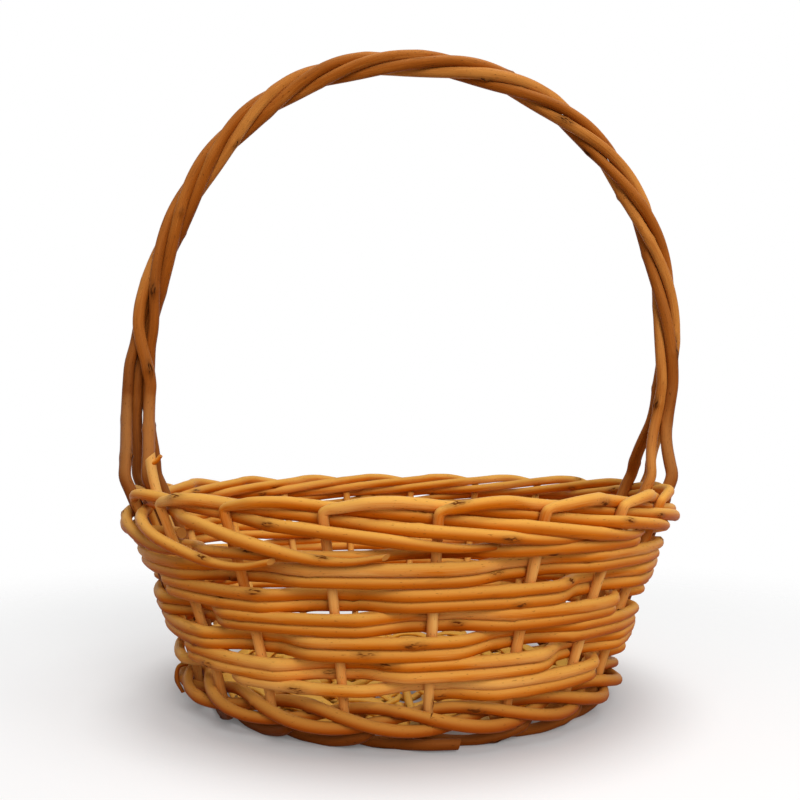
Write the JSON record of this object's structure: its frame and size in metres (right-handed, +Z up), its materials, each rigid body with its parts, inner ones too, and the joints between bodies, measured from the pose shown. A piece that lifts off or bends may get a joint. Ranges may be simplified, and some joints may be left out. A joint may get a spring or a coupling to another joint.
{
  "type": "woven market basket",
  "caption": "Round woven willow basket with flared rod walls, a rolled rod border, a scalloped foot and a tall fixed handle of twisted brown rods.",
  "frame": {"origin": "on the ground under the middle of the basket's box", "axes": "+X from the left handle foot to the right one, +Y from the front to the back, +Z up to the handle"},
  "size_m": [0.3127, 0.28, 0.3571],
  "materials": {
    "natural_willow": "peeled honey-coloured willow rod, varnished to a soft gloss",
    "brown_willow": "unpeeled red-brown willow rod, varnished to a soft gloss",
    "split_willow": "pale split willow, smooth and slightly glossy"
  },
  "bodies": {
    "root": {"stake_1": "natural_willow", "stake_2": "natural_willow", "stake_3": "natural_willow", "stake_4": "natural_willow", "stake_5": "natural_willow", "stake_6": "natural_willow", "stake_7": "natural_willow", "stake_8": "natural_willow", "stake_9": "natural_willow", "stake_10": "natural_willow", "stake_11": "natural_willow", "stake_12": "natural_willow", "stake_13": "natural_willow", "stake_14": "natural_willow", "stake_15": "natural_willow", "stake_16": "natural_willow", "stake_17": "natural_willow", "stake_18": "natural_willow", "stake_19": "natural_willow", "weaver_1_1": "natural_willow", "weaver_1_2": "natural_willow", "weaver_1_3": "natural_willow", "weaver_1_4": "natural_willow", "weaver_2_1": "natural_willow", "weaver_2_2": "natural_willow", "weaver_2_3": "natural_willow", "weaver_2_4": "natural_willow", "weaver_1_5": "natural_willow", "weaver_1_6": "natural_willow", "weaver_2_5": "natural_willow", "weaver_2_6": "natural_willow", "wale_rod_1": "natural_willow", "wale_rod_2": "natural_willow", "wale_rod_3": "natural_willow", "base_stick_1": "split_willow", "base_stick_2": "split_willow", "base_stick_3": "split_willow", "base_stick_4": "split_willow", "base_stick_5": "split_willow", "base_stick_6": "split_willow", "base_stick_7": "split_willow", "base_stick_8": "split_willow", "base_stick_9": "split_willow", "base_stick_10": "split_willow", "base_strip_1": "split_willow", "base_strip_2": "split_willow", "base_strip_3": "split_willow", "base_strip_4": "split_willow", "handle_rod_1": "brown_willow", "handle_rod_2": "brown_willow", "handle_rod_3": "brown_willow", "handle_rod_4": "brown_willow", "base_binding": "split_willow", "foot_rods": "brown_willow", "handle_peg": "natural_willow"}
  },
  "joints": []
}
